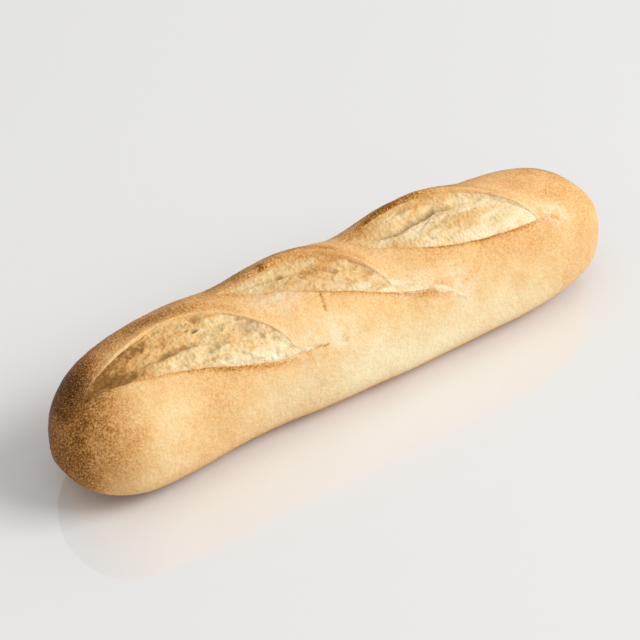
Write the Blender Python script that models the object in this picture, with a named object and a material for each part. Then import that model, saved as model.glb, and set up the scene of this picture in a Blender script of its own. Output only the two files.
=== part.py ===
# A short baguette: one closed loaf with a flat base, blunt ends and three long slashes across its top.
# Each slash is a leaf-shaped opening. Its back edge is lifted into an ear, and its front edge is a low lip.
# The loaf lies along X, rests on Z = 0 and is centred on the Z axis. Lengths are in metres.

import bmesh
import bpy
import numpy as np

MM = 0.001

# Loaf
HALF_LENGTH = 130 * MM
HALF_WIDTH = 30.2 * MM
CREST_HEIGHT = 51.5 * MM
WIDEST_HEIGHT = 18.5 * MM
BASE_CUT = 1.05  # the lower half would reach this many times WIDEST_HEIGHT down, and the base cuts it flat
END_POWER = 6.6  # how blunt the ends are in plan
CREST_POWER = 6.2  # and from the side
TOP_POWER = 2.5  # superellipse powers of the cross-section above and below its widest point
BASE_POWER = 3.1
WAIST = 0.055  # the loaf is narrower here by this share
WAIST_PLACE = 0.35  # places along the loaf are shares of HALF_LENGTH
WAIST_SPREAD = 0.45
SWELL = 0.05  # and the -X end is fuller by this share
SWELL_PLACE = -0.88
SWELL_SPREAD = 0.14
PINCH = 2.6 * MM  # the -Y side is drawn in by twice this near the -X slash
PINCH_PLACE = -56 * MM
PINCH_SPREAD = 46 * MM
BOW = 3.6 * MM  # the -X end turns this far towards -Y
SADDLE = 1.6 * MM  # the crest dips this far at each bridge of crust between two slashes
SADDLE_SPREAD = 12 * MM
BRIDGES = (-46 * MM, 14 * MM)

# Slashes, from the -X one to the +X one. start and end are the tips in plan. bulge is how far the front edge
# curves from the line between them, most near the start tip when front_lean is under 1. The ear takes ear_share
# of the length, and is widest past its middle when lean is over 1.
SLASHES = (
    dict(
        start=(-118, -2), end=(-14, -26), bulge=6, front_lean=0.65,
        opening=21.5, ear_share=0.78, lean=1.2, ear=3.6, depth=3.0,
    ),
    dict(
        start=(-52, 12), end=(44, -28), bulge=9, front_lean=0.85,
        opening=22, ear_share=0.66, lean=1.4, ear=3.6, depth=3.0,
    ),
    dict(
        start=(8, 10), end=(98, -20), bulge=14.5, front_lean=0.62,
        opening=29, ear_share=0.85, lean=1.0, ear=4.8, depth=3.4,
    ),
)
LEAF_POWER = 0.65  # below 1, the leaf's outline is blunter than a sine
EAR_POWER = 1.5  # the ear falls off towards its ends more than the leaf does
TAIL_WIDTH = 3 * MM  # a slash runs on past its ear as a shallow tail
EAR_SLOPE = 14 * MM  # the ear slopes down over this length of the crust behind it
EAR_FACE = 6.5 * MM  # width of the torn face under the ear
LIP = 1.1 * MM
LIP_SLOPE = 6 * MM
LIP_FACE = 3.2 * MM
CRUMB_RISE = 1.6 * MM  # the torn crumb bulges this far above the floor of the slash

# Mesh: rows of faces along the loaf and columns round it
ROWS = 80
COLUMNS = 60
TOP_CROWDING = 3.2  # the columns on top are this many times as close as those below
PROFILE_STEPS = 2000

CRUST_COLOR = (0.80, 0.52, 0.24, 1.0)


def clear_scene():
    for old in list(bpy.data.objects):
        bpy.data.objects.remove(old)


def signed_power(value, power):
    return np.sign(value) * np.abs(value) ** power


def hump(value, spread):
    return np.exp(-((value / spread) ** 2))


def step_up(value, width):
    """0 at or below 0, 1 at or above the width, and smooth between."""
    share = np.clip(value / width, 0, 1)
    return share * share * (3 - 2 * share)


def end_share(along, power):
    """How much of the full section is left at a place from -1 to 1 along the loaf."""
    return np.sqrt(np.clip(1 - np.abs(along) ** power, 0, 1))


def half_width(along):
    waist = 1 - WAIST * hump(along - WAIST_PLACE, WAIST_SPREAD)
    swell = 1 + SWELL * hump(along - SWELL_PLACE, SWELL_SPREAD)
    return (HALF_WIDTH * waist * swell - pinch_at(along)) * end_share(along, END_POWER)


def pinch_at(along):
    return PINCH * hump(HALF_LENGTH * along - PINCH_PLACE, PINCH_SPREAD)


def section(along, angle):
    """The smooth loaf without its slashes. angle is 0 under the base, pi/2 on the -Y side, pi on the crest."""
    sine, cosine = np.sin(angle), np.cos(angle)
    low = cosine > 0
    power = 2 / np.where(low, BASE_POWER, TOP_POWER)
    x = HALF_LENGTH * along
    dip = sum(SADDLE * hump(x - bridge, SADDLE_SPREAD) for bridge in BRIDGES)
    reach = np.where(low, WIDEST_HEIGHT * BASE_CUT, CREST_HEIGHT - dip - WIDEST_HEIGHT)
    middle = pinch_at(along) - BOW * np.clip(-along, 0, 1) ** 3
    y = middle - half_width(along) * signed_power(sine, power)
    z = WIDEST_HEIGHT - end_share(along, CREST_POWER) * reach * signed_power(cosine, power)
    return np.stack([x, y, np.maximum(z, 0)], axis=-1)


def even_places(outline, places, weight, count):
    """The places at which an outline is cut into equal steps, where a step counts for more as weight grows."""
    step = np.linalg.norm(np.diff(outline, axis=0), axis=1) * weight[1:]
    length = np.concatenate([[0], np.cumsum(step)])
    return np.interp(np.linspace(0, length[-1], count + 1), length, places)


def rows_along():
    turn = np.linspace(-np.pi / 2, np.pi / 2, PROFILE_STEPS)
    along = np.sin(turn)
    outline = np.stack([HALF_LENGTH * along, half_width(along)], axis=-1)
    return even_places(outline, along, np.ones_like(along), ROWS)


def angles_round():
    angle = np.linspace(0, 2 * np.pi, PROFILE_STEPS)
    outline = section(np.zeros_like(angle), angle)
    upper = step_up(outline[:, 2] - 1.3 * WIDEST_HEIGHT, WIDEST_HEIGHT)
    return even_places(outline, angle, 1 + (TOP_CROWDING - 1) * upper, COLUMNS)[:-1]


def share_of_slash(slash, x):
    """0 at the start tip, 1 at the end tip, and held there beyond them."""
    start, end = slash["start"][0] * MM, slash["end"][0] * MM
    return np.clip((x - start) / (end - start), 0, 1)


def leaf_shape(slash, x):
    """The outline of the opening and of its ear: 0 at both ends of the ear and 1 between them."""
    share = np.clip(share_of_slash(slash, x) / slash["ear_share"], 0, 1)
    return np.maximum(np.sin(np.pi * share ** slash["lean"]), 0) ** LEAF_POWER


def slash_edges(slash, x):
    """(front Y, back Y) of a slash in plan."""
    share = share_of_slash(slash, x)
    start, end = slash["start"][1] * MM, slash["end"][1] * MM
    bulge = slash["bulge"] * MM * np.sin(np.pi * share ** slash["front_lean"])
    front = start + (end - start) * share - bulge
    tail = TAIL_WIDTH * np.sin(np.pi * share)
    return front, front + np.maximum(slash["opening"] * MM * leaf_shape(slash, x), tail)


def slash_lift(slash, x, y):
    """How far a slash pushes the crust out (+) or in (-): lip, floor and ear, in order of Y."""
    front, back = slash_edges(slash, x)
    leaf = leaf_shape(slash, x)
    share = share_of_slash(slash, x)
    shown = np.sin(np.pi * share)
    ear = slash["ear"] * MM * leaf**EAR_POWER
    lip = LIP * shown
    across = np.clip((y - front) / np.maximum(back - front, TAIL_WIDTH), 0, 1)
    depth = slash["depth"] * MM * np.maximum(leaf, 0.3 * shown)
    floor = CRUMB_RISE * leaf * np.sin(np.pi * across) ** 2 - depth
    ahead = lip * hump(np.maximum(front - y, 0), LIP_SLOPE)
    behind = ear * np.exp(-((np.maximum(y - back, 0) / EAR_SLOPE) ** 1.5))
    into = step_up(y - front, LIP_FACE)
    face = np.maximum(EAR_FACE * leaf, LIP_FACE)
    out_of = step_up(y - back + face, face)
    opened = ahead * (1 - into) + floor * into
    return opened * (1 - out_of) + behind * out_of


def lift(points):
    x, y, z = points[..., 0], points[..., 1], points[..., 2]
    total = sum(slash_lift(slash, x, y) for slash in SLASHES)
    return total * step_up(z - WIDEST_HEIGHT, WIDEST_HEIGHT)


def outward(points):
    """Unit normals of a grid of points whose columns go round the loaf."""
    along = np.gradient(points, axis=0)
    around = np.roll(points, -1, axis=1) - np.roll(points, 1, axis=1)
    normal = np.cross(along, around)
    return normal / np.maximum(np.linalg.norm(normal, axis=-1, keepdims=True), 1e-12)


def loaf_points():
    angle = angles_round()[None, :]
    along = rows_along()[:, None] + 0 * angle
    smooth = section(along, angle + 0 * along)
    points = smooth + outward(smooth) * lift(smooth)[..., None]
    points[..., 2] = np.where(smooth[..., 2] > 0, np.maximum(points[..., 2], 0), 0)
    points[..., 1] -= (points[..., 1].min() + points[..., 1].max()) / 2
    return points


def make_loaf(collection):
    points = loaf_points()
    shape = bmesh.new()
    bmesh.ops.create_uvsphere(shape, u_segments=COLUMNS, v_segments=ROWS, radius=1)
    for vertex in shape.verts:
        latitude = np.arcsin(np.clip(vertex.co.z, -1, 1))
        longitude = np.arctan2(vertex.co.y, vertex.co.x) % (2 * np.pi)
        row = round((latitude / np.pi + 0.5) * ROWS)
        column = round(longitude / (2 * np.pi) * COLUMNS) % COLUMNS
        vertex.co = points[row, column]
    bmesh.ops.triangulate(shape, faces=shape.faces, quad_method="FIXED")
    bmesh.ops.recalc_face_normals(shape, faces=shape.faces)
    mesh = bpy.data.meshes.new("loaf")
    shape.to_mesh(mesh)
    shape.free()
    mesh.shade_smooth()
    mesh.materials.append(make_crust())
    loaf = bpy.data.objects.new("loaf", mesh)
    collection.objects.link(loaf)
    return loaf


def make_crust():
    crust = bpy.data.materials.new("crust")
    crust.use_nodes = True
    shader = crust.node_tree.nodes["Principled BSDF"]
    shader.inputs["Base Color"].default_value = CRUST_COLOR
    shader.inputs["Roughness"].default_value = 0.6
    shader.inputs["Metallic"].default_value = 0.0
    return crust


def main():
    clear_scene()
    baguette = bpy.data.collections.new("baguette")
    bpy.context.scene.collection.children.link(baguette)
    make_loaf(baguette)


main()
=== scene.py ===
# Short baguette with three slashes, whole and uncut, lying on a pale floor.
# The crust is one closed surface. Each slash has its own body of torn crumb, set into the crust.

import bpy
import numpy as np
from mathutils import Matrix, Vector


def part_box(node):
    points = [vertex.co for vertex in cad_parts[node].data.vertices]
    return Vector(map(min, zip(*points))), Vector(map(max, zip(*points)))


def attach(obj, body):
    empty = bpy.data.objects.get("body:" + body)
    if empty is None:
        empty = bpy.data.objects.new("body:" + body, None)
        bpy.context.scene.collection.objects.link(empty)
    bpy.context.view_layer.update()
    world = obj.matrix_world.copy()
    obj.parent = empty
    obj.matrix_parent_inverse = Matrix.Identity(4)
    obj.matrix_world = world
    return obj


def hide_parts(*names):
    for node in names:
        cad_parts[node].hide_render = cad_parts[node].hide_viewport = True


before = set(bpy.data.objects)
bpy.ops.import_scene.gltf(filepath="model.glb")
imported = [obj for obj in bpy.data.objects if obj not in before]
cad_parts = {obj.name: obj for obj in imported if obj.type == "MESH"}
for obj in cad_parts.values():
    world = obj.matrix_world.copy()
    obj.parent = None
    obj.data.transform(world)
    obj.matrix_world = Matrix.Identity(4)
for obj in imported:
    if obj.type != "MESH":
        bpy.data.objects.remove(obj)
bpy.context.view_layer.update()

mm = 0.001
low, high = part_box("loaf")

loaf = dict(
    halfLength=(high[0] - low[0]) / 2,
    halfWidth=30.2 * mm,
    crestHeight=51.5 * mm,
    widestHeight=18.5 * mm,
    baseCut=1.05,          # the lower half would reach this many times widestHeight, the base cuts it flat
    endPower=6.6,          # how blunt the ends are in plan
    crestPower=6.2,        # and from the side
    topPower=2.5,          # superellipse powers of the section above and below its widest point
    basePower=3.1,
    waist=0.055,
    waistPlace=0.35,
    waistSpread=0.45,
    swell=0.05,
    swellPlace=-0.88,
    swellSpread=0.14,
    pinch=2.6 * mm,        # the -Y side is drawn in by twice this near the -X slash
    pinchPlace=-56 * mm,
    pinchSpread=46 * mm,
    bow=3.6 * mm,
    saddle=1.6 * mm,       # dip of the crest at each bridge of crust between two slashes
    saddleSpread=12 * mm,
    bridges=(-46 * mm, 14 * mm),
)

# One dictionary for each slash, from the -X one to the +X one. start and end are its tips in plan. They and
# bulge, opening, ear, depth and roll are in millimetres. The ear takes earShare of the length. Under 1,
# frontLean moves the front edge's bulge towards the start tip. Over 1, lean moves the widest place towards
# the end tip. roll is the width of the ear's rounded edge. What has Bake in its name darkens that edge, the
# band behind it, the crust before the lip, the crumb, and the start of the edge; at the band behind the edge
# and before the lip this is partly browning and partly painted shade. scorch darkens one spot on the
# edge. rough makes the crumb rougher, and faceCalm its upper face smoother.
slashes = (
    dict(
        start=(-118, -2), end=(-14, -26), bulge=6, frontLean=0.65,
        opening=21.5, earShare=0.78, lean=1.2, ear=3.6, depth=3.0,
        roll=1.3, rollBake=-0.09, backBakeAndShade=0.14, lipBakeAndShade=0.05, crumbBake=0.42, rough=1.1, faceCalm=0.1,
        startBake=0.0, scorch=0.0,
    ),
    dict(
        start=(-52, 12), end=(44, -28), bulge=9, frontLean=0.85,
        opening=22, earShare=0.66, lean=1.4, ear=3.6, depth=3.0,
        roll=4.2, rollBake=0.07, backBakeAndShade=0.22, lipBakeAndShade=0.10, crumbBake=0.50, rough=0.75, faceCalm=0.5,
        startBake=0.06, scorch=0.28,
    ),
    dict(
        start=(8, 10), end=(98, -20), bulge=14.5, frontLean=0.62,
        opening=29, earShare=0.85, lean=1.0, ear=4.8, depth=3.4,
        roll=3.0, rollBake=0.02, backBakeAndShade=0.22, lipBakeAndShade=0.12, crumbBake=0.36, rough=0.65, faceCalm=0.4,
        startBake=0.42, scorch=0.0,
    ),
)

slashCut = dict(
    leafPower=0.65,        # below 1, the leaf's outline is blunter than a sine
    earPower=1.5,          # the ear falls off towards its ends more than the leaf does
    tailWidth=3.6 * mm,
    earSlope=14 * mm,      # length of the crust's slope behind the ear
    earRim=0.5 * mm,       # height of the thin turned-up rim on the ear
    lip=0.4 * mm,
    lipSlope=6 * mm,
    lipRim=0.35 * mm,
    lipFace=1.3 * mm,
    rimWidth=1.1 * mm,
    wander=0.7 * mm,       # the edges of a slash wander by this much
    wanderSize=7 * mm,
    frontWander=0.6,       # the front edge wanders this many times as much
    tailWander=0.8,        # the tail's back edge wanders by this share more
    leastLeaf=0.4,         # the roll and the floor keep this share at the tips
)


def signedPower(value, power):
    return np.sign(value) * np.abs(value) ** power


def hump(value, spread):
    # exp(-(value / spread)^2): 1 at 0, falling to 0 on both sides
    return np.exp(-((value / spread) ** 2))


def stepUp(value, width):
    # 0 up to 0, 1 from the width on, s*s*(3 - 2s) between
    s = np.clip(value / width, 0, 1)
    return s * s * (3 - 2 * s)


def cellNumber(i, j, k, seed):
    # a fixed number from 0 to 1 for each cell of a cubic lattice, from whole-number hashing
    h = (i * 374761393 + j * 668265263 + k * 1440662683 + seed * 974711) & 0xFFFFFFFF
    h = ((h ^ (h >> 13)) * 1274126177) & 0xFFFFFFFF
    return ((h ^ (h >> 16)) & 0xFFFF) / 65535.0


def softNoise(points, size, seed):
    # lattice noise from -1 to 1: the numbers at a cell's eight corners, blended by s*s*(3 - 2s)
    q = points / size
    base = np.floor(q).astype(np.int64)
    f = q - base
    f = f * f * (3 - 2 * f)
    total = 0
    for a in (0, 1):
        for b in (0, 1):
            for c in (0, 1):
                share = np.abs(1 - a - f[..., 0]) * np.abs(1 - b - f[..., 1]) * np.abs(1 - c - f[..., 2])
                i, j, k = base[..., 0] + a, base[..., 1] + b, base[..., 2] + c
                total = total + share * cellNumber(i, j, k, seed)
    return 2 * total - 1


def layeredNoise(points, size, layers, seed):
    # soft noise plus half as much at half the size, and so on
    total, weight = 0, 0
    for n in range(layers):
        total = total + softNoise(points, size / 2**n, seed + n) / 2**n
        weight += 1 / 2**n
    return total / weight


def nearestSpot(points, size, seed):
    # scattered spots, one in each cell: the distance to the nearest one over the size, and its own number
    q = points / size
    base = np.floor(q).astype(np.int64)
    best = np.full(q.shape[:-1], 9.0)
    number = np.zeros(q.shape[:-1])
    for a in (-1, 0, 1):
        for b in (-1, 0, 1):
            for c in (-1, 0, 1):
                i, j, k = base[..., 0] + a, base[..., 1] + b, base[..., 2] + c
                gap = np.sqrt(
                    (i + cellNumber(i, j, k, seed) - q[..., 0]) ** 2
                    + (j + cellNumber(i, j, k, seed + 1) - q[..., 1]) ** 2
                    + (k + cellNumber(i, j, k, seed + 2) - q[..., 2]) ** 2
                )
                nearer = gap < best
                number = np.where(nearer, cellNumber(i, j, k, seed + 3), number)
                best = np.where(nearer, gap, best)
    return best, number


def endShare(along, power):
    # (1 - |u|^power)^0.5: how much of the full section is left at u from -1 to 1
    return np.sqrt(np.clip(1 - np.abs(along) ** power, 0, 1))


def halfWidthAt(along):
    waist = 1 - loaf["waist"] * hump(along - loaf["waistPlace"], loaf["waistSpread"])
    swell = 1 + loaf["swell"] * hump(along - loaf["swellPlace"], loaf["swellSpread"])
    return (loaf["halfWidth"] * waist * swell - pinchAt(along)) * endShare(along, loaf["endPower"])


def pinchAt(along):
    return loaf["pinch"] * hump(loaf["halfLength"] * along - loaf["pinchPlace"], loaf["pinchSpread"])


def middleAt(along):
    return pinchAt(along) - loaf["bow"] * np.clip(-along, 0, 1) ** 3


def crestReach(x):
    dip = sum(loaf["saddle"] * hump(x - bridge, loaf["saddleSpread"]) for bridge in loaf["bridges"])
    return loaf["crestHeight"] - dip - loaf["widestHeight"]


def section(along, angle):
    # superellipse round the loaf: y = middle - w sin^(2/p), z = widest - reach cos^(2/p), cut flat at 0
    sine, cosine = np.sin(angle), np.cos(angle)
    under = cosine > 0
    power = 2 / np.where(under, loaf["basePower"], loaf["topPower"])
    x = loaf["halfLength"] * along
    reach = np.where(under, loaf["widestHeight"] * loaf["baseCut"], crestReach(x))
    y = middleAt(along) - halfWidthAt(along) * signedPower(sine, power)
    z = loaf["widestHeight"] - endShare(along, loaf["crestPower"]) * reach * signedPower(cosine, power)
    return np.stack([x, y, np.maximum(z, 0)], axis=-1)


def topAt(x, y):
    # the upper half of the same superellipse, solved for z at a place in plan
    along = np.clip(x / loaf["halfLength"], -1, 1)
    across = np.abs(middleAt(along) - y) / np.maximum(halfWidthAt(along), mm)
    arch = np.clip(1 - across ** loaf["topPower"], 0, 1) ** (1 / loaf["topPower"])
    return loaf["widestHeight"] + endShare(along, loaf["crestPower"]) * crestReach(x) * arch


def shareOfSlash(slash, x):
    start, end = slash["start"][0] * mm, slash["end"][0] * mm
    return np.clip((x - start) / (end - start), 0, 1)


def leafShape(slash, x):
    # sin(pi s^lean)^power over the ear's share of the slash: 0 at both ends and 1 between them
    share = np.clip(shareOfSlash(slash, x) / slash["earShare"], 0, 1)
    return np.maximum(np.sin(np.pi * share ** slash["lean"]), 0) ** slashCut["leafPower"]


def wanderAt(x, seed):
    line = np.stack([x, 0 * x + seed * mm, 0 * x], axis=-1)
    return slashCut["wander"] * layeredNoise(line, slashCut["wanderSize"], 3, seed)


def slashEdges(slash, x):
    # front Y and back Y of a slash in plan: a line between the tips, bulged by a sine, plus the leaf's width
    share = shareOfSlash(slash, x)
    start, end = slash["start"][1] * mm, slash["end"][1] * mm
    front = start + (end - start) * share
    front = front - slash["bulge"] * mm * np.sin(np.pi * share ** slash["frontLean"])
    tail = slashCut["tailWidth"] * np.sin(np.pi * share)
    back = front + np.maximum(slash["opening"] * mm * leafShape(slash, x), tail)
    shown = np.sin(np.pi * share)
    seed = int(slash["end"][0])
    ragged = shown * (1 + slashCut["tailWander"] * (share > slash["earShare"]))
    front = front + shown * slashCut["frontWander"] * wanderAt(x, seed + 40)
    return front, back + ragged * wanderAt(x, seed + 80)


def evenPlaces(outline, places, weight, count):
    # cuts an outline into equal steps, where a step counts for more as the weight grows
    step = np.linalg.norm(np.diff(outline, axis=0), axis=1) * weight[1:]
    length = np.concatenate([[0], np.cumsum(step)])
    return np.interp(np.linspace(0, length[-1], count + 1), length, places)


def outwardOf(points):
    # unit normals of a grid whose columns close round the loaf: round x along
    along = np.gradient(points, axis=0)
    around = np.roll(points, -1, axis=1) - np.roll(points, 1, axis=1)
    normal = np.cross(along, around)
    return normal / np.maximum(np.linalg.norm(normal, axis=-1, keepdims=True), 1e-12)


def closedMesh(name, points, fields):
    # a tube of rows and columns whose first and last rows are each one point
    rows, columns = points.shape[:2]
    inner = points[1:-1].reshape(-1, 3)
    verts = np.concatenate([points[0, :1], inner, points[-1, :1]])
    r = np.arange(rows - 3)[:, None]
    c = np.arange(columns)[None, :]
    n = (c + 1) % columns
    quads = np.stack([1 + r * columns + c, 1 + (r + 1) * columns + c, 1 + (r + 1) * columns + n,
                      1 + r * columns + n], axis=-1).reshape(-1, 4)
    c, n = c[0], n[0]
    lastRow = 1 + (rows - 3) * columns
    tip = len(verts) - 1
    startCap = np.stack([0 * c, 1 + c, 1 + n], axis=-1)
    endCap = np.stack([lastRow + n, lastRow + c, 0 * c + tip], axis=-1)
    mesh = bpy.data.meshes.new(name)
    mesh.from_pydata(verts.tolist(), [], quads.tolist() + startCap.tolist() + endCap.tolist())
    for field, values in fields.items():
        flat = np.concatenate([values[0, :1], values[1:-1].reshape(-1), values[-1, :1]])
        data = mesh.attributes.new(field, "FLOAT", "POINT")
        data.data.foreach_set("value", flat.astype(np.float32))
    mesh.shade_smooth()
    piece = bpy.data.objects.new(name, mesh)
    bpy.context.scene.collection.objects.link(piece)
    return piece


crust = dict(
    rows=430,
    columns=226,
    topCrowding=2.6,       # the columns on top are this many times as close as those below
    swellSize=26 * mm,     # slow unevenness of the whole loaf
    swellHeight=0.55 * mm,
    lumpSize=7 * mm,
    lumpHeight=0.16 * mm,
    pinSize=1.6 * mm,      # tiny blisters of the baked skin
    pinHeight=0.10 * mm,
    dimpleSize=17 * mm,
    dimpleDepth=0.35 * mm,
    dimpleSpread=0.14,     # share of dimpleSize
    dimpleShare=0.5,       # share of the places that hold a dimple
    baseCalm=3 * mm,       # the skin smooths out towards the flat base over this height
    outlineSteps=3000,
)


def rollWidth(slash, leaf):
    return slash["roll"] * mm * np.maximum(leaf, slashCut["leastLeaf"])


def crustLift(slash, x, y):
    # in order of Y: the lip, the floor hidden under the crumb, the ear's drop and the slope behind the ear
    front, back = slashEdges(slash, x)
    leaf = leafShape(slash, x)
    shown = np.sin(np.pi * shareOfSlash(slash, x))
    cut = slashCut
    ahead, behind = np.maximum(front - y, 0), np.maximum(y - back, 0)
    lip = shown * (cut["lip"] * hump(ahead, cut["lipSlope"]) + cut["lipRim"] * hump(ahead, cut["rimWidth"]))
    ear = leaf ** cut["earPower"] * slash["ear"] * mm * np.exp(-((behind / cut["earSlope"]) ** 1.5))
    ear = ear + leaf * cut["earRim"] * hump(behind, cut["rimWidth"])
    floor = -slash["depth"] * mm * np.maximum(leaf, cut["leastLeaf"] * shown)
    into = stepUp(y - front, cut["lipFace"])
    roll = rollWidth(slash, leaf)
    outOf = np.sqrt(1 - (1 - np.clip((y - back + roll) / roll, 0, 1)) ** 2)
    opened = lip * (1 - into) + floor * into
    return opened * (1 - outOf) + ear * outOf


def crustGrid():
    turn = np.linspace(-np.pi / 2, np.pi / 2, crust["outlineSteps"])
    along = np.sin(turn)
    plan = np.stack([loaf["halfLength"] * along, halfWidthAt(along)], axis=-1)
    along = evenPlaces(plan, along, np.ones_like(along), crust["rows"])
    angle = np.linspace(0, 2 * np.pi, crust["outlineSteps"])
    outline = section(np.zeros_like(angle), angle)
    upper = stepUp(outline[:, 2] - 1.3 * loaf["widestHeight"], loaf["widestHeight"])
    angle = evenPlaces(outline, angle, 1 + (crust["topCrowding"] - 1) * upper, crust["columns"])[:-1]
    return np.meshgrid(along, angle, indexing="ij")


hairCrack = dict(
    start=(-18.4 * mm, -11.6 * mm),
    end=(-19.8 * mm, -17.2 * mm),
    spread=0.6 * mm,
    darkness=0.26,
    depth=0.2 * mm,
)


def hairCrackAt(x, y):
    # 1 on a straight line between two places in plan, falling to 0 beside it
    fromX, fromY = hairCrack["start"]
    toX, toY = hairCrack["end"]
    runX, runY = toX - fromX, toY - fromY
    share = np.clip(((x - fromX) * runX + (y - fromY) * runY) / (runX**2 + runY**2), 0, 1)
    return hump(np.hypot(x - fromX - runX * share, y - fromY - runY * share), hairCrack["spread"])


browningAndShading = dict(
    plain=0.30,                        # level of the plain crust
    patchSize=24 * mm,
    patchy=0.13,
    wander=9 * mm,                     # the zones' borders shift by this much with the patches
    # zones: what each adds to the level, where it starts and the length over which it builds up
    crown=(0.05, 22 * mm, 22 * mm),    # upwards
    # the +Y side, turned from the light, is darker: partly browning, partly painted shade
    back=(0.20, -2 * mm, 20 * mm),     # towards +Y
    # the darkening towards -X in the next four zones is partly browning and partly painted shade on the end
    # turned from the light
    left=(0.05, 20 * mm, 40 * mm),     # towards -X, and so the next three
    nearEnd=(0.66, 96 * mm, 32 * mm),
    nearTip=(0.75, 116 * mm, 13 * mm),
    nearBack=(0.12, 40 * mm, 70 * mm),
    farEnd=(0.17, 76 * mm, 46 * mm),   # towards +X
    # the -X end, partly browned and partly painted shade, is darkest high up and at the back, its tip is
    # dark nearly down to the base
    nearHigh=(0.78, 14 * mm, 28 * mm),
    nearFarSide=(0.45, -14 * mm, 20 * mm),
    tipHigh=(1, 3 * mm, 10 * mm),
    backSide=(1, 0.5 * mm, 12 * mm),
    # the pale flank, partly paler crust and partly painted light on the -Y side facing the light: what it
    # takes off, then its middle and spread upwards and along, and its reach across
    pale=0.20,
    paleHeight=(15 * mm, 15 * mm),
    paleAlong=(18 * mm, 66 * mm),
    paleSide=16 * mm,
    rim=(0.34, 3.8 * mm, 3.0 * mm),    # the darker line just above the base: amount, height and spread
)


def zone(name, value):
    amount, start, over = browningAndShading[name]
    return amount * stepUp(value - start, over)


def bakeAndShadingLevel(points):
    # how dark each place of the crust is, from 0, pale, to 1, dark brown: a sum of zones, mostly browning,
    # with painted shade at the -X end and on the +Y side and painted light on the lower -Y flank
    x, y, z = points[..., 0], points[..., 1], points[..., 2]
    patchy = layeredNoise(points, browningAndShading["patchSize"], 4, 5)
    shift = browningAndShading["wander"] * patchy
    # the -X end and its back side: partly browning, partly painted shade
    fullEnd = browningAndShading["nearEnd"][0]
    high = 1 - browningAndShading["nearHigh"][0] + zone("nearHigh", z)
    farSide = 1 - browningAndShading["nearFarSide"][0] + zone("nearFarSide", y)
    nearEnd = zone("nearEnd", -x + shift) * high * farSide
    nearEnd = np.maximum(nearEnd, fullEnd * zone("nearTip", -x) * zone("tipHigh", z))
    nearBack = zone("nearBack", -x + shift) * zone("backSide", y)
    # crown is browning; back is partly browning and partly painted shade on the +Y side; left is partly
    # browning and partly painted shade towards the -X end
    level = browningAndShading["plain"] + zone("crown", z) + zone("back", y) + zone("left", -x)
    level = level + nearEnd + nearBack + zone("farEnd", x + shift)
    height, rise = browningAndShading["paleHeight"]
    place, run = browningAndShading["paleAlong"]
    # painted light, with some real paleness, on the lower -Y flank
    flank = stepUp(-y, browningAndShading["paleSide"]) * hump(z - height, rise) * hump(x - place, run)
    amount, height, rise = browningAndShading["rim"]
    return level - browningAndShading["pale"] * flank + amount * hump(z - height, rise) + browningAndShading["patchy"] * patchy


slashBrowningAndShading = dict(
    # the lip's line, the zone before the lip and the band behind the ear are partly browning and partly
    # painted shade
    lipLine=0.28,              # the lip's thin brown edge
    lipLineWidth=0.7 * mm,
    lipZone=6 * mm,            # length of the browner crust before the lip
    bandBehind=5 * mm,         # the dark band behind the ear: how far back, and its spread
    bandSpread=4 * mm,
    rollPlace=0.3,             # places and spreads on the ear's roll are shares of its width
    rollSpread=0.7,
    startFrom=0.25,            # shares of the slash, from which and over which startBake fades
    startOver=0.3,
    scorchPlace=0.24,
    scorchLength=0.022,
    scorchWidth=2.2 * mm,
    dimple=0.12,
    lipInside=0.5,             # the bare underside starts at this share of the lip's face
    rollInside=0.9,            # and ends at this share of the roll
)

dusting = dict(
    bridge=0.7,                # floury patch on the bridge of crust beside the -X slash
    bridgePlace=(-32 * mm, -4 * mm),
    bridgeSpread=(12 * mm, 7 * mm),
    tip=0.8,                   # and another at the +X tip of each slash
    tipBack=4 * mm,
    tipSpread=8 * mm,
    behind=1.5 * mm,           # the dust lies this far behind a slash's middle line
    width=4 * mm,
)


def slashBakeAndShade(slash, x, y):
    # what one slash adds to the darkness of the crust round it: browning, and painted shade too on the lip's
    # line, before the lip and in the band behind the ear
    look = slashBrowningAndShading
    front, back = slashEdges(slash, x)
    leaf = leafShape(slash, x)
    share = shareOfSlash(slash, x)
    shown = np.sin(np.pi * share)
    roll = rollWidth(slash, leaf)
    ahead = np.maximum(front - y, 0)
    # painted shade with browning: the lip's line, the crust before the lip and the band behind the ear
    line = look["lipLine"] * shown * hump(ahead, look["lipLineWidth"]) * (y < front + mm)
    lip = slash["lipBakeAndShade"] * shown * hump(ahead, look["lipZone"]) * (y < front)
    band = slash["backBakeAndShade"] * leaf * hump(y - back - look["bandBehind"], look["bandSpread"])
    fromStart = 1 - stepUp(share - look["startFrom"], look["startOver"])
    rollBake = slash["rollBake"] + slash["startBake"] * fromStart
    rolled = rollBake * leaf * hump(y - back + look["rollPlace"] * roll, look["rollSpread"] * roll)
    scorch = hump(share - look["scorchPlace"], look["scorchLength"])
    scorch = slash["scorch"] * scorch * hump(y - back + mm, look["scorchWidth"])
    return line + lip + band + rolled + scorch


def slashInside(slash, x, y):
    # 1 where the crust is hidden under the crumb
    front, back = slashEdges(slash, x)
    roll = rollWidth(slash, leafShape(slash, x))
    after = y > front + slashBrowningAndShading["lipInside"] * slashCut["lipFace"]
    return after & (y < back - slashBrowningAndShading["rollInside"] * roll)


def slashDust(slash, x, y):
    # flour along the tail of one slash and past its +X tip
    front, back = slashEdges(slash, x)
    shown = np.sin(np.pi * shareOfSlash(slash, x))
    beyond = dusting["tip"] * hump(x - slash["end"][0] * mm + dusting["tipBack"], dusting["tipSpread"])
    along = np.maximum(shown * (1 - leafShape(slash, x)), beyond)
    return along * hump(y - 0.5 * (front + back) - dusting["behind"], dusting["width"])


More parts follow.
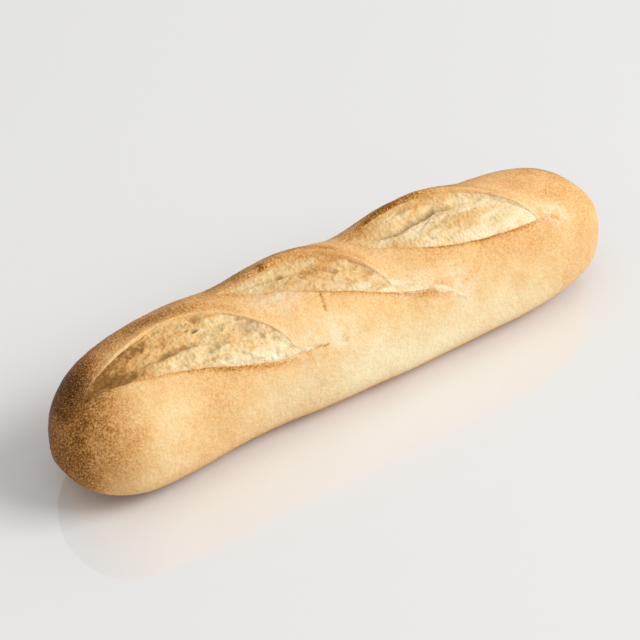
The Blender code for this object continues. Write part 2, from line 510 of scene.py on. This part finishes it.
def addCrust(material):
    along, angle = crustGrid()
    smooth = section(along, angle)
    normals = outwardOf(smooth)
    x, y, z = smooth[..., 0], smooth[..., 1], smooth[..., 2]
    upper = stepUp(z - loaf["widestHeight"], loaf["widestHeight"])
    lift = sum(crustLift(slash, x, y) for slash in slashes) * upper
    spot, number = nearestSpot(smooth, crust["dimpleSize"], 31)
    crack = upper * hairCrackAt(x, y)
    dimple = hump(spot, crust["dimpleSpread"]) * (number > 1 - crust["dimpleShare"])
    skin = (
        crust["swellHeight"] * layeredNoise(smooth, crust["swellSize"], 2, 3)
        + crust["lumpHeight"] * layeredNoise(smooth, crust["lumpSize"], 2, 7)
        + crust["pinHeight"] * layeredNoise(smooth, crust["pinSize"], 2, 11)
        - crust["dimpleDepth"] * dimple
        - hairCrack["depth"] * crack
    )
    clear = stepUp(z, crust["baseCalm"])
    points = smooth + normals * (lift + skin * clear)[..., None]
    points[..., 2] = np.where(z > 0, np.maximum(points[..., 2], 0), 0)
    points[..., 1] += shiftY
    points[0], points[-1] = points[0, :1], points[-1, :1]

    # the crust's darkness: browning, with painted shade and painted light mixed in
    darkness = bakeAndShadingLevel(smooth) + hairCrack["darkness"] * crack + slashBrowningAndShading["dimple"] * dimple
    darkness = darkness + upper * sum(slashBakeAndShade(slash, x, y) for slash in slashes)
    bridgeX, bridgeY = dusting["bridgePlace"]
    spreadX, spreadY = dusting["bridgeSpread"]
    dust = dusting["bridge"] * hump(x - bridgeX, spreadX) * hump(y - bridgeY, spreadY)
    inner = np.zeros_like(x)
    for slash in slashes:
        dust = np.maximum(dust, slashDust(slash, x, y))
        inner = np.maximum(inner, slashInside(slash, x, y))
    dust, inner = upper * dust, upper * inner
    piece = closedMesh("crust", points, {"darkness": darkness, "inner": inner, "dust": dust})
    piece.data.materials.append(material)
    return piece


crumb = dict(
    rows=330,
    columns=116,
    underColumns=10,
    tuck=0.05,             # the crumb reaches this share of its width under both edges
    underDepth=5 * mm,
    lipDrop=0.12 * mm,     # below the crust at the front edge
    earDrop=0.9 * mm,      # below the ear at the back edge
    bulge=1.3 * mm,        # the risen crumb in front of the groove
    fold=(0.40, 0.52, 0.44),    # where the groove under the torn face runs, as a share of the width
    foldRise=(0.05, 0.10, 0.36),    # how far the groove climbs towards the back edge along the slash
    foldWander=0.07,
    foldWidth=0.07,
    foldDepth=(1.2 * mm, 1.1 * mm, 1.8 * mm),
    lumpSize=9 * mm,
    lumpHeight=1.15 * mm,
    cragSize=4.4 * mm,
    cragHeight=1.25 * mm,
    warp=1.6 * mm,         # crags are bent sideways by this much
    pitSize=3.6 * mm,
    pitDepth=1.6 * mm,
    pitShare=0.45,         # share of the places that hold a pit
    tornDepth=0.8 * mm,    # pits are this much deeper beside the groove
    grainSize=1.0 * mm,
    grainHeight=0.22 * mm,
    stretch=1.9,           # lumps and crags are this much longer along the slash
    tailDrop=0.1 * mm,
    tailGrain=0.4,         # the grain keeps this share on the tail
    tipGap=0.01,           # the crumb stops this share of the length short of both tips
    riseRound=0.8,         # under 1, the low rise is blunter than a sine
    foldFade=(0.75, 0.35, 0.3),     # the groove loses this share, from and over these shares of the length
    foldClimb=(0.10, 0.6),          # and climbs from and over these
    foldWanderSize=14 * mm,
    tornOffset=0.04,       # the deep pits lie round the groove: shares of the width
    tornSpread=0.15,
    lipCalm=0.14,          # the relief dies out over these shares of the width
    earCalm=0.08,
    edgeDrop=2.2 * mm,     # what is tucked under the edges lies this much deeper
    leastUnder=0.2,
    slopeStep=0.2 * mm,
    warpSize=1.5,          # the noise that bends the crags is this many times their size
    cragLevel=0.55,
    pitSpread=(0.16, 0.16),         # a pit's least spread, and what its own number adds
)

crumbToastAndShade = dict(
    # face: toasting of the torn face under the ear, partly painted shade
    face=0.16,
    far=(-0.10, 0.5, 0.3),             # what is added from one share of the slash, over another
    nearEnd=(0.52, 78 * mm, 40 * mm),  # towards -X
    start=(0.25, 0.16),                # at the start tip, over this share
)

crumbFlour = dict(
    lip=(0.85, 0.08, 0.12),            # amount, place and spread across the slash
    lipAlong=(0.25, 0.3),              # from one share of the slash, over another
    tail=0.8,
    tailAlong=(0.4, 0.2),
)


def crumbRelief(x, y, seed):
    # lumps + ridges (1 - 2|noise|) bent by a slower noise - scattered pits, in metres
    flat = np.stack([x / crumb["stretch"], y, 0 * y], axis=-1)
    bend = layeredNoise(flat, crumb["cragSize"] * crumb["warpSize"], 2, seed + 10)
    bent = flat + crumb["warp"] * np.stack([bend, -bend, bend], axis=-1)
    lumps = layeredNoise(flat, crumb["lumpSize"], 2, seed)
    ridges = 1 - 2 * np.abs(layeredNoise(bent, crumb["cragSize"], 4, seed + 20))
    spot, number = nearestSpot(bent, crumb["pitSize"], seed + 40)
    least, more = crumb["pitSpread"]
    pits = hump(spot, least + more * number) * (number < crumb["pitShare"])
    crags = crumb["lumpHeight"] * lumps + crumb["cragHeight"] * (ridges - crumb["cragLevel"])
    return crags - crumb["pitDepth"] * pits, pits


def addCrumb(name, slash, place, seed, material):
    start, end = slash["start"][0] * mm, slash["end"][0] * mm
    u = np.linspace(0, 1, crumb["rows"] + 1)
    across = np.linspace(-crumb["tuck"], 1 + crumb["tuck"], crumb["columns"])
    x = start + (end - start) * (crumb["tipGap"] + (1 - 2 * crumb["tipGap"]) * u)
    front, back = slashEdges(slash, x)
    leaf = leafShape(slash, x)[:, None]
    shown = np.sin(np.pi * shareOfSlash(slash, x))[:, None]
    gridX = x[:, None] + 0 * across[None, :]
    t = across[None, :] + 0 * gridX
    y = front[:, None] + (back - front)[:, None] * t
    plain = np.stack([gridX, y, 0 * y], axis=-1)

    # across a slash: a low rise of crumb, a groove, then the torn face up to just under the ear
    inside = np.clip(t, 0, 1)
    line = np.stack([gridX, 0 * y, 0 * y], axis=-1)
    lost, fadeFrom, fadeOver = crumb["foldFade"]
    foldDepth = crumb["foldDepth"][place] * (1 - lost * stepUp(u - fadeFrom, fadeOver))[:, None]
    climbFrom, climbOver = crumb["foldClimb"]
    climb = crumb["foldRise"][place] * stepUp(u - climbFrom, climbOver)[:, None]
    wander = crumb["foldWander"] * layeredNoise(line, crumb["foldWanderSize"], 3, seed + 5)
    fold = crumb["fold"][place] + climb + wander
    face = stepUp(inside - fold, 1 - fold)
    swelling = np.sin(np.pi * np.clip(inside / fold, 0, 1)) ** crumb["riseRound"]
    rise = crumb["bulge"] * swelling - crumb["lipDrop"]
    earHeight = slash["ear"] * mm * leaf ** (slashCut["earPower"] - 1)
    rise = rise + (earHeight - crumb["earDrop"] + crumb["lipDrop"]) * face ** crumb["riseRound"]
    groove = foldDepth * hump(inside - fold, crumb["foldWidth"])
    rise = rise - groove
    relief, pits = crumbRelief(gridX, y, seed)
    # the torn pits deepen the crumb and also carry its painted shade
    tornPitsAndShade = pits * hump(inside - fold - crumb["tornOffset"], crumb["tornSpread"]) * leaf
    rise = rise - crumb["tornDepth"] * tornPitsAndShade
    calm = stepUp(inside, crumb["lipCalm"]) * stepUp(1 - inside, crumb["earCalm"])
    calm = calm * (1 - slash["faceCalm"] * face) * slash["rough"]
    grain = layeredNoise(plain, crumb["grainSize"], 2, seed + 60) * crumb["grainHeight"]
    height = leaf * (rise + relief * calm) + grain * (crumb["tailGrain"] + (1 - crumb["tailGrain"]) * leaf)
    height = height - (1 - leaf) * crumb["tailDrop"] * shown
    over = np.maximum(-t, 0) + np.maximum(t - 1, 0)
    height = height - crumb["edgeDrop"] * over / crumb["tuck"]

    step = crumb["slopeStep"]
    z = topAt(gridX, y)
    slopeX = (topAt(gridX + step, y) - topAt(gridX - step, y)) / (2 * step)
    slopeY = (topAt(gridX, y + step) - topAt(gridX, y - step)) / (2 * step)
    normal = np.stack([-slopeX, -slopeY, np.ones_like(z)], axis=-1)
    normal = normal / np.linalg.norm(normal, axis=-1, keepdims=True)
    top = np.stack([gridX, y, z], axis=-1) + normal * height[..., None]

    # the hidden underside runs from the back edge to the front edge, deeper inside the loaf
    share = np.linspace(1, 0, crumb["underColumns"] + 2)[1:-1][None, :]
    sink = np.sin(np.pi * share) * crumb["underDepth"] * np.maximum(leaf, crumb["leastUnder"])
    under = top[:, :1] * (1 - share[..., None]) + top[:, -1:] * share[..., None]
    under = under - np.array([0, 0, 1]) * sink[..., None]
    points = np.concatenate([top, under], axis=1)
    points[..., 1] += shiftY
    points[0], points[-1] = points[0].mean(axis=0), points[-1].mean(axis=0)

    full, endFrom, endOver = crumbToastAndShade["nearEnd"]
    nearEnd = stepUp(-gridX - endFrom, endOver)
    far, farFrom, farOver = crumbToastAndShade["far"]
    # the face term is partly painted shade under the ear
    toastAndShade = slash["crumbBake"] + crumbToastAndShade["face"] * face + full * nearEnd
    toastAndShade = toastAndShade + far * stepUp(u - farFrom, farOver)[:, None]
    first, firstOver = crumbToastAndShade["start"]
    toastAndShade = toastAndShade + first * stepUp(firstOver - u, firstOver)[:, None] * (1 - nearEnd)
    amount, middle, spread = crumbFlour["lip"]
    lipFrom, lipOver = crumbFlour["lipAlong"]
    flour = amount * hump(inside - middle, spread) * stepUp(u - lipFrom, lipOver)[:, None]
    tailFrom, tailOver = crumbFlour["tailAlong"]
    flour = flour + crumbFlour["tail"] * (1 - leaf) * stepUp(u - tailFrom, tailOver)[:, None]
    hidden = np.zeros((len(u), crumb["underColumns"]))
    fields = {
        "relief": (relief * calm - groove) / mm * leaf,
        "toastAndShade": toastAndShade,
        "tornPitsAndShade": tornPitsAndShade,
        "rough": slash["rough"] + 0 * t,
        "flour": flour,
    }
    fields = {field: np.concatenate([values, hidden], axis=1) for field, values in fields.items()}
    piece = closedMesh(name, points, fields)
    piece.data.materials.append(material)
    return piece


def toLinear(red, green, blue, alpha=1.0):
    # sRGB from 0 to 255 turned to linear
    c = np.array([red, green, blue]) / 255
    c = np.where(c <= 0.04045, c / 12.92, ((c + 0.055) / 1.055) ** 2.4)
    return (*c.tolist(), alpha)


class Nodes:
    # short ways to add and join shader nodes in one material
    def __init__(self, name):
        self.material = bpy.data.materials.new(name)
        self.material.use_nodes = True
        self.tree = self.material.node_tree
        self.shader = self.tree.nodes["Principled BSDF"]
        self.place = self.tree.nodes.new("ShaderNodeTexCoord").outputs["Object"]

    def join(self, source, target):
        self.tree.links.new(source, target)

    def noise(self, scale, detail=3.0, roughness=0.55):
        node = self.tree.nodes.new("ShaderNodeTexNoise")
        node.inputs["Scale"].default_value = scale
        node.inputs["Detail"].default_value = detail
        node.inputs["Roughness"].default_value = roughness
        self.join(self.place, node.inputs["Vector"])
        return node.outputs["Fac"]

    def streaks(self, scale, detail=3.0):
        # noise drawn out along the loaf
        stretch = self.tree.nodes.new("ShaderNodeVectorMath")
        stretch.operation = "MULTIPLY"
        stretch.inputs[1].default_value = (0.35, 1, 1)
        self.join(self.place, stretch.inputs[0])
        node = self.tree.nodes.new("ShaderNodeTexNoise")
        node.inputs["Scale"].default_value = scale
        node.inputs["Detail"].default_value = detail
        self.join(stretch.outputs["Vector"], node.inputs["Vector"])
        return node.outputs["Fac"]

    def cells(self, scale):
        node = self.tree.nodes.new("ShaderNodeTexVoronoi")
        node.inputs["Scale"].default_value = scale
        self.join(self.place, node.inputs["Vector"])
        return node.outputs["Distance"]

    def field(self, name):
        node = self.tree.nodes.new("ShaderNodeAttribute")
        node.attribute_name = name
        return node.outputs["Fac"]

    def math(self, operation, first, second, clamp=False):
        node = self.tree.nodes.new("ShaderNodeMath")
        node.operation = operation
        node.use_clamp = clamp
        for socket, value in zip(node.inputs, (first, second)):
            if isinstance(value, (int, float)):
                socket.default_value = value
            else:
                self.join(value, socket)
        return node.outputs[0]

    def spread(self, value, low, high, toLow=0.0, toHigh=1.0):
        node = self.tree.nodes.new("ShaderNodeMapRange")
        node.inputs["From Min"].default_value = low
        node.inputs["From Max"].default_value = high
        node.inputs["To Min"].default_value = toLow
        node.inputs["To Max"].default_value = toHigh
        self.join(value, node.inputs["Value"])
        return node.outputs["Result"]

    def ramp(self, value, stops):
        node = self.tree.nodes.new("ShaderNodeValToRGB")
        ramp = node.color_ramp
        while len(ramp.elements) < len(stops):
            ramp.elements.new(0.5)
        for element, (place, color) in zip(ramp.elements, stops):
            element.position = place
            element.color = color
        self.join(value, node.inputs["Fac"])
        return node.outputs["Color"]

    def mix(self, share, first, second):
        node = self.tree.nodes.new("ShaderNodeMix")
        node.data_type = "RGBA"
        self.join(share, node.inputs["Factor"])
        for socket, value in ((node.inputs["A"], first), (node.inputs["B"], second)):
            if isinstance(value, tuple):
                socket.default_value = value
            else:
                self.join(value, socket)
        return node.outputs["Result"]

    def bump(self, height, strength, distance):
        node = self.tree.nodes.new("ShaderNodeBump")
        node.inputs["Strength"].default_value = strength
        node.inputs["Distance"].default_value = distance
        self.join(height, node.inputs["Height"])
        self.join(node.outputs["Normal"], self.shader.inputs["Normal"])


crustLook = dict(
    pale=toLinear(253, 234, 190),
    golden=toLinear(245, 204, 144),
    tan=toLinear(222, 163, 96),
    brown=toLinear(162, 104, 38),
    # the darkest stop, reached at the -X end, which is partly browned crust and partly painted shade
    dark=toLinear(90, 50, 4),
    flour=toLinear(250, 232, 198),
    under=toLinear(196, 140, 78),
)


def crustMaterial():
    n = Nodes("bakedCrust")
    mottle = n.spread(n.noise(110, 4), 0.3, 0.7, -0.05, 0.05)
    speckle = n.spread(n.noise(1100, 3, 0.7), 0.3, 0.7, -0.11, 0.11)
    speckle = n.math("MULTIPLY", speckle, n.spread(n.field("darkness"), 0.3, 0.65, 0.75, 1.9))
    level = n.math("ADD", n.field("darkness"), mottle)
    level = n.math("ADD", level, speckle, clamp=True)
    fleckSize = n.spread(n.cells(1500), 0.16, 0.30, 1, 0)
    flecks = n.math("MULTIPLY", fleckSize, n.spread(n.field("darkness"), 0.35, 0.8, 0.05, 0.50), clamp=True)
    level = n.math("SUBTRACT", level, flecks, clamp=True)
    color = n.ramp(level, [
        (0.10, crustLook["pale"]),
        (0.32, crustLook["golden"]),
        (0.55, crustLook["tan"]),
        (0.78, crustLook["brown"]),
        (1.00, crustLook["dark"]),
    ])
    dusty = n.math("MULTIPLY", n.spread(n.noise(260, 4), 0.36, 0.58, 0, 0.9), n.field("dust"), clamp=True)
    color = n.mix(dusty, color, crustLook["flour"])
    line = n.math("ABSOLUTE", n.math("SUBTRACT", n.streaks(330, 3), 0.5), 0)
    cracks = n.math("MULTIPLY", n.spread(line, 0.0, 0.014, 0.8, 0), n.field("dust"), clamp=True)
    color = n.mix(n.math("MULTIPLY", cracks, n.spread(n.noise(240, 2), 0.5, 0.6)), color, crustLook["brown"])
    color = n.mix(n.field("inner"), color, crustLook["under"])
    n.join(color, n.shader.inputs["Base Color"])
    n.join(n.spread(n.noise(300), 0.3, 0.7, 0.42, 0.6), n.shader.inputs["Roughness"])
    n.shader.inputs["Specular IOR Level"].default_value = 0.12
    n.shader.inputs["Subsurface Weight"].default_value = 0.1
    n.shader.inputs["Subsurface Scale"].default_value = 0.002
    fine = n.math("MULTIPLY", n.noise(1100, 3), 0.5)
    n.bump(n.math("ADD", n.noise(420, 4), fine), 0.6, 0.0008)
    return n.material


crumbLook = dict(
    cream=toLinear(246, 222, 178),
    straw=toLinear(232, 198, 140),
    tan=toLinear(220, 166, 100),
    brown=toLinear(150, 106, 52),
    # olive: painted shade for the crumb's hollows
    oliveShade=toLinear(140, 108, 62),
    flour=toLinear(250, 230, 194),
)


def crumbMaterial():
    n = Nodes("tornCrumb")
    streaks = n.spread(n.streaks(150, 5), 0.34, 0.66, -0.23, 0.23)
    spots = n.spread(n.noise(480, 5, 0.62), 0.34, 0.66, -0.17, 0.17)
    spots = n.math("MULTIPLY", spots, n.field("rough"))
    level = n.math("ADD", n.field("toastAndShade"), n.math("ADD", streaks, spots), clamp=True)
    color = n.ramp(level, [
        (0.12, crumbLook["cream"]),
        (0.42, crumbLook["straw"]),
        (0.70, crumbLook["tan"]),
        (1.00, crumbLook["brown"]),
    ])
    # painted shade in the torn pits beside the groove, in brown
    color = n.mix(n.math("MULTIPLY", n.field("tornPitsAndShade"), 0.85, clamp=True), color, crumbLook["brown"])
    # painted shade: the deep places of the relief and the groove take the olive shade colour
    recessShade = n.spread(n.field("relief"), -0.3, -1.7, 0, 0.8)
    color = n.mix(recessShade, color, crumbLook["oliveShade"])
    floury = n.math("MULTIPLY", n.spread(n.streaks(330, 4), 0.36, 0.56), n.field("flour"), clamp=True)
    color = n.mix(floury, color, crumbLook["flour"])
    n.join(color, n.shader.inputs["Base Color"])
    n.shader.inputs["Roughness"].default_value = 0.75
    n.shader.inputs["Specular IOR Level"].default_value = 0.2
    n.shader.inputs["Subsurface Weight"].default_value = 0.15
    n.shader.inputs["Subsurface Scale"].default_value = 0.001
    n.bump(n.math("ADD", n.noise(900, 4), n.cells(700)), 0.5, 0.0006)
    return n.material


room = dict(
    floorHalf=3.0,
    floorColor=(0.80, 0.795, 0.785, 1),
    world=0.60,
    keyPower=130.0,
    keySize=2.3,
    keyFrom=(0.80, -0.60, 0.78),
    keyDistance=4.0,
)


def addFloor():
    s = room["floorHalf"]
    mesh = bpy.data.meshes.new("floor")
    mesh.from_pydata([(-s, -s, 0), (s, -s, 0), (s, s, 0), (-s, s, 0)], [], [(0, 1, 2, 3)])
    floor = bpy.data.objects.new("floor", mesh)
    bpy.context.scene.collection.objects.link(floor)
    n = Nodes("paleFloor")
    n.shader.inputs["Base Color"].default_value = room["floorColor"]
    n.shader.inputs["Roughness"].default_value = 0.05
    n.shader.inputs["IOR"].default_value = 1.6
    n.shader.inputs["Specular IOR Level"].default_value = 0.9
    mesh.materials.append(n.material)


def addLight():
    world = bpy.data.worlds.new("studio")
    world.use_nodes = True
    world.node_tree.nodes["Background"].inputs["Color"].default_value = (1, 1, 1, 1)
    world.node_tree.nodes["Background"].inputs["Strength"].default_value = room["world"]
    bpy.context.scene.world = world
    light = bpy.data.lights.new("softbox", "AREA")
    light.energy = room["keyPower"]
    light.size = room["keySize"]
    lamp = bpy.data.objects.new("softbox", light)
    toLamp = Vector(room["keyFrom"]).normalized()
    lamp.location = toLamp * room["keyDistance"]
    lamp.rotation_euler = toLamp.to_track_quat("Z", "Y").to_euler()
    lamp.visible_glossy = False
    bpy.context.scene.collection.objects.link(lamp)


view = dict(
    azimuth=-36.96,        # degrees round the loaf from its -Y side
    elevation=39.0,
    distance=0.772,
    lens=108.5,
    shift=(-0.0297, 0.0650),
)


def addCamera():
    data = bpy.data.cameras.new("camera")
    data.lens = view["lens"]
    data.shift_x, data.shift_y = view["shift"]
    camera = bpy.data.objects.new("camera", data)
    a, e = np.radians(view["azimuth"]), np.radians(view["elevation"])
    back = Vector((np.sin(a) * np.cos(e), -np.cos(a) * np.cos(e), np.sin(e)))
    camera.location = back * view["distance"]
    camera.rotation_euler = back.to_track_quat("Z", "Y").to_euler()
    bpy.context.scene.collection.objects.link(camera)
    bpy.context.scene.camera = camera


plain = section(*crustGrid())
shiftY = -(plain[..., 1].min() + plain[..., 1].max()) / 2

bpy.context.scene.view_settings.view_transform = "Standard"
addCamera()
addLight()
addFloor()
print("camera, light and floor are in place")

crustPiece = addCrust(crustMaterial())
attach(crustPiece, "root")
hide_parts("loaf")
print("crust:", len(crustPiece.data.polygons), "faces")

crumbFinish = crumbMaterial()
for place, slash in enumerate(slashes):
    piece = addCrumb(f"crumb{place + 1}", slash, place, 100 * place + 100, crumbFinish)
    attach(piece, "root")
    print(piece.name + ":", len(piece.data.polygons), "faces")
